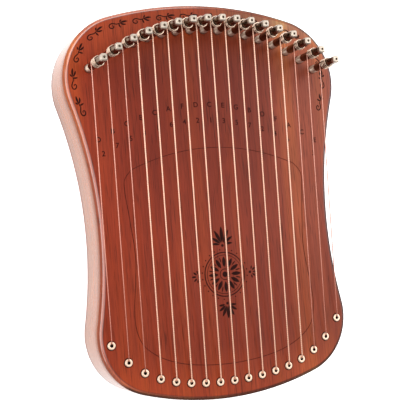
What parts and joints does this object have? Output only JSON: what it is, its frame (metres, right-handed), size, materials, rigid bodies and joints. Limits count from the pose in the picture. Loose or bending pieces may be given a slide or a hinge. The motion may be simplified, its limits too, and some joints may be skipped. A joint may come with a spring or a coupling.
{
  "type": "lyre harp",
  "caption": "Small wooden lyre harp: a waisted hollow body lying on its back, a row of strings from brass eyelets to an arc of steel tuning pins.",
  "frame": {"origin": "under the middle of the back, on the surface that the harp lies on", "axes": "+X to the right as the face is looked at, +Y from the eyelets towards the tuning pins, +Z out of the face"},
  "size_m": [0.2594, 0.344, 0.084],
  "materials": {
    "front_mahogany": "gloss lacquer over red-brown mahogany",
    "back_mahogany": "gloss lacquer over red-brown mahogany",
    "rim_mahogany": "gloss lacquer over bent mahogany",
    "maple": "bare, sanded",
    "spruce": "bare, sanded",
    "eyelet_brass": "polished",
    "pin_nickel": "nickel plated, polished",
    "wound_bronze": "bronze winding on a steel core",
    "plain_steel": "drawn and polished"
  },
  "bodies": {
    "harp": {"front_plate": "front_mahogany", "back_plate": "back_mahogany", "rim": "rim_mahogany", "pin_block": "maple", "tail_block": "maple", "upper_brace": "spruce", "lower_brace": "spruce", "eyelet_01": "eyelet_brass", "eyelet_02": "eyelet_brass", "eyelet_03": "eyelet_brass", "eyelet_04": "eyelet_brass", "eyelet_05": "eyelet_brass", "eyelet_06": "eyelet_brass", "eyelet_07": "eyelet_brass", "eyelet_08": "eyelet_brass", "eyelet_09": "eyelet_brass", "eyelet_10": "eyelet_brass", "eyelet_11": "eyelet_brass", "eyelet_12": "eyelet_brass", "eyelet_13": "eyelet_brass", "eyelet_14": "eyelet_brass", "eyelet_15": "eyelet_brass", "eyelet_16": "eyelet_brass", "eyelet_17": "eyelet_brass", "string_01": "plain_steel", "string_02": "plain_steel", "string_03": "plain_steel", "string_04": "wound_bronze", "string_05": "wound_bronze", "string_06": "wound_bronze", "string_07": "wound_bronze", "string_08": "wound_bronze", "string_09": "wound_bronze", "string_10": "wound_bronze", "string_11": "wound_bronze", "string_12": "wound_bronze", "string_13": "wound_bronze", "string_14": "wound_bronze", "string_15": "plain_steel", "string_16": "plain_steel", "string_17": "plain_steel"},
    "pin_01": {"tuning_pin_01": "pin_nickel"},
    "pin_02": {"tuning_pin_02": "pin_nickel"},
    "pin_03": {"tuning_pin_03": "pin_nickel"},
    "pin_04": {"tuning_pin_04": "pin_nickel"},
    "pin_05": {"tuning_pin_05": "pin_nickel"},
    "pin_06": {"tuning_pin_06": "pin_nickel"},
    "pin_07": {"tuning_pin_07": "pin_nickel"},
    "pin_08": {"tuning_pin_08": "pin_nickel"},
    "pin_09": {"tuning_pin_09": "pin_nickel"},
    "pin_10": {"tuning_pin_10": "pin_nickel"},
    "pin_11": {"tuning_pin_11": "pin_nickel"},
    "pin_12": {"tuning_pin_12": "pin_nickel"},
    "pin_13": {"tuning_pin_13": "pin_nickel"},
    "pin_14": {"tuning_pin_14": "pin_nickel"},
    "pin_15": {"tuning_pin_15": "pin_nickel"},
    "pin_16": {"tuning_pin_16": "pin_nickel"},
    "pin_17": {"tuning_pin_17": "pin_nickel"}
  },
  "joints": [
    {"name": "tune_01", "type": "hinge", "parent": "harp", "child": "pin_01", "pos_m": [-0.108, 0.11447, 0.042], "axis": [0, 0, 1], "range_deg": [-360, 1080]},
    {"name": "tune_02", "type": "hinge", "parent": "harp", "child": "pin_02", "pos_m": [-0.0945, 0.12338, 0.042], "axis": [0, 0, 1], "range_deg": [-360, 1080]},
    {"name": "tune_03", "type": "hinge", "parent": "harp", "child": "pin_03", "pos_m": [-0.081, 0.13071, 0.042], "axis": [0, 0, 1], "range_deg": [-360, 1080]},
    {"name": "tune_04", "type": "hinge", "parent": "harp", "child": "pin_04", "pos_m": [-0.0675, 0.13667, 0.042], "axis": [0, 0, 1], "range_deg": [-360, 1080]},
    {"name": "tune_05", "type": "hinge", "parent": "harp", "child": "pin_05", "pos_m": [-0.054, 0.1414, 0.042], "axis": [0, 0, 1], "range_deg": [-360, 1080]},
    {"name": "tune_06", "type": "hinge", "parent": "harp", "child": "pin_06", "pos_m": [-0.0405, 0.14499, 0.042], "axis": [0, 0, 1], "range_deg": [-360, 1080]},
    {"name": "tune_07", "type": "hinge", "parent": "harp", "child": "pin_07", "pos_m": [-0.027, 0.14751, 0.042], "axis": [0, 0, 1], "range_deg": [-360, 1080]},
    {"name": "tune_08", "type": "hinge", "parent": "harp", "child": "pin_08", "pos_m": [-0.0135, 0.149, 0.042], "axis": [0, 0, 1], "range_deg": [-360, 1080]},
    {"name": "tune_09", "type": "hinge", "parent": "harp", "child": "pin_09", "pos_m": [0, 0.1495, 0.042], "axis": [0, 0, 1], "range_deg": [-360, 1080]},
    {"name": "tune_10", "type": "hinge", "parent": "harp", "child": "pin_10", "pos_m": [0.0135, 0.149, 0.042], "axis": [0, 0, 1], "range_deg": [-360, 1080]},
    {"name": "tune_11", "type": "hinge", "parent": "harp", "child": "pin_11", "pos_m": [0.027, 0.14751, 0.042], "axis": [0, 0, 1], "range_deg": [-360, 1080]},
    {"name": "tune_12", "type": "hinge", "parent": "harp", "child": "pin_12", "pos_m": [0.0405, 0.14499, 0.042], "axis": [0, 0, 1], "range_deg": [-360, 1080]},
    {"name": "tune_13", "type": "hinge", "parent": "harp", "child": "pin_13", "pos_m": [0.054, 0.1414, 0.042], "axis": [0, 0, 1], "range_deg": [-360, 1080]},
    {"name": "tune_14", "type": "hinge", "parent": "harp", "child": "pin_14", "pos_m": [0.0675, 0.13667, 0.042], "axis": [0, 0, 1], "range_deg": [-360, 1080]},
    {"name": "tune_15", "type": "hinge", "parent": "harp", "child": "pin_15", "pos_m": [0.081, 0.13071, 0.042], "axis": [0, 0, 1], "range_deg": [-360, 1080]},
    {"name": "tune_16", "type": "hinge", "parent": "harp", "child": "pin_16", "pos_m": [0.0945, 0.12338, 0.042], "axis": [0, 0, 1], "range_deg": [-360, 1080]},
    {"name": "tune_17", "type": "hinge", "parent": "harp", "child": "pin_17", "pos_m": [0.108, 0.11447, 0.042], "axis": [0, 0, 1], "range_deg": [-360, 1080]}
  ]
}
